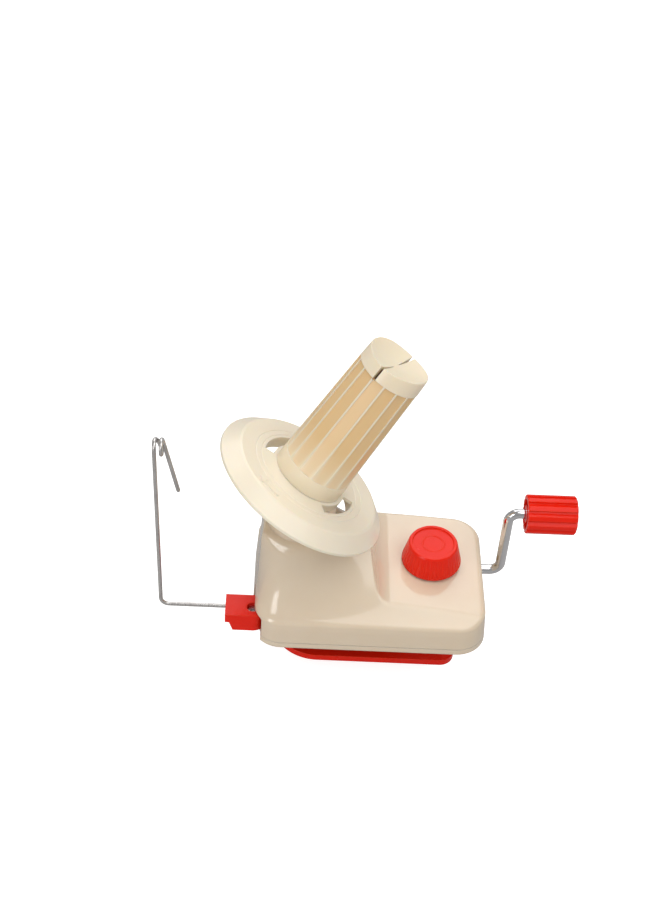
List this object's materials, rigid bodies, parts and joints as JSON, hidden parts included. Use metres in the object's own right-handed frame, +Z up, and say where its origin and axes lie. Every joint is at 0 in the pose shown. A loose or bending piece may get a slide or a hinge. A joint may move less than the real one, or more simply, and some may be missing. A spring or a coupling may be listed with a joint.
{
  "type": "yarn ball winder",
  "caption": "Hand-cranked yarn ball winder with a table clamp, a tilted geared holder and ribbed spindle, and a wire yarn guide on a swinging arm.",
  "frame": {"origin": "the vertical main-shaft axis at the flat underside of the housing, which rests on the table", "axes": "+X towards the crank, +Y towards the back, +Z up; the spindle leans towards +X and a little towards +Y at rest"},
  "size_m": [0.2467, 0.1082, 0.2297],
  "materials": {
    "ivory_plastic": "gloss moulded",
    "light_ivory_plastic": "satin moulded",
    "red_plastic": "gloss moulded",
    "gear_plastic": "natural nylon",
    "chromed_steel": "polished",
    "wire_steel": "drawn wire",
    "zinc_steel": "zinc plated",
    "bronze": "sintered",
    "black_rubber": "matte"
  },
  "bodies": {
    "housing": {"top_cover": "ivory_plastic", "base_plate": "ivory_plastic", "base_pad": "black_rubber", "base_screws": "zinc_steel", "neck_gear": "light_ivory_plastic", "upper_bush": "bronze", "lower_bush": "bronze", "crank_bush": "bronze", "inner_bush": "bronze", "gear_axle": "zinc_steel", "gear_clip": "zinc_steel", "arm_pivot_screw": "zinc_steel"},
    "crank": {"crank_rod": "chromed_steel", "crank_pinion": "gear_plastic", "crank_clip": "zinc_steel", "grip_rivet": "zinc_steel"},
    "grip": {"crank_grip": "red_plastic"},
    "idler": {"compound_gear": "gear_plastic"},
    "carrier": {"main_shaft": "zinc_steel", "main_pinion": "gear_plastic", "shaft_clip": "zinc_steel", "tilt_carrier": "gear_plastic", "holder_washer": "zinc_steel", "holder_screw": "zinc_steel"},
    "holder": {"geared_holder": "light_ivory_plastic"},
    "spindle": {"spindle": "light_ivory_plastic"},
    "clamp": {"clamp_knob": "red_plastic", "clamp_screw": "zinc_steel", "clamp_washer": "zinc_steel", "clamp_clip": "zinc_steel"},
    "jaw": {"clamp_jaw": "red_plastic", "jaw_nut": "zinc_steel", "jaw_pad": "black_rubber"},
    "arm": {"guide_arm": "red_plastic"},
    "wire": {"guide_wire": "wire_steel"}
  },
  "joints": [
    {"name": "crank_spin", "type": "hinge", "parent": "housing", "child": "crank", "pos_m": [0.1, 0.012, 0.0095], "axis": [1, 0, 0], "continuous": true},
    {"name": "grip_spin", "type": "hinge", "parent": "crank", "child": "grip", "pos_m": [0.15, 0.012, 0.0595], "axis": [1, 0, 0], "continuous": true},
    {"name": "idler_spin", "type": "hinge", "parent": "housing", "child": "idler", "pos_m": [0.0275, 0.012, 0.019], "axis": [0, 0, 1], "continuous": true},
    {"name": "carrier_spin", "type": "hinge", "parent": "housing", "child": "carrier", "pos_m": [0, 0, 0.05], "axis": [0, 0, 1], "continuous": true},
    {"name": "holder_spin", "type": "hinge", "parent": "carrier", "child": "holder", "pos_m": [0, 0, 0.0906], "axis": [0.5112, 0.137, 0.8485], "continuous": true},
    {"name": "spindle_twist", "type": "hinge", "parent": "holder", "child": "spindle", "pos_m": [0, 0, 0.0906], "axis": [0.5112, 0.137, 0.8485], "range_deg": [-25, 0]},
    {"name": "knob_turn", "type": "hinge", "parent": "housing", "child": "clamp", "pos_m": [0.08, 0.0027, 0.03], "axis": [0, 0, 1], "range_deg": [-2340, 1440]},
    {"name": "jaw_slide", "type": "slide", "parent": "housing", "child": "jaw", "axis": [0, 0, 1], "range_m": [-0.008, 0.013]},
    {"name": "arm_swing", "type": "hinge", "parent": "housing", "child": "arm", "pos_m": [-0.027, -0.0325, 0.009], "axis": [0, 0, 1], "range_deg": [-25, 60]},
    {"name": "wire_swivel", "type": "hinge", "parent": "arm", "child": "wire", "pos_m": [-0.04, -0.0285, 0.0115], "axis": [1, 0, 0], "range_deg": [-10, 90]}
  ],
  "couplings": [
    {"joint": "idler_spin", "follows": "crank_spin", "ratio": -0.66667},
    {"joint": "carrier_spin", "follows": "crank_spin", "ratio": 2.6667},
    {"joint": "holder_spin", "follows": "crank_spin", "ratio": -2.2626},
    {"joint": "knob_turn", "follows": "jaw_slide", "rad_per_m": -3141.6}
  ]
}
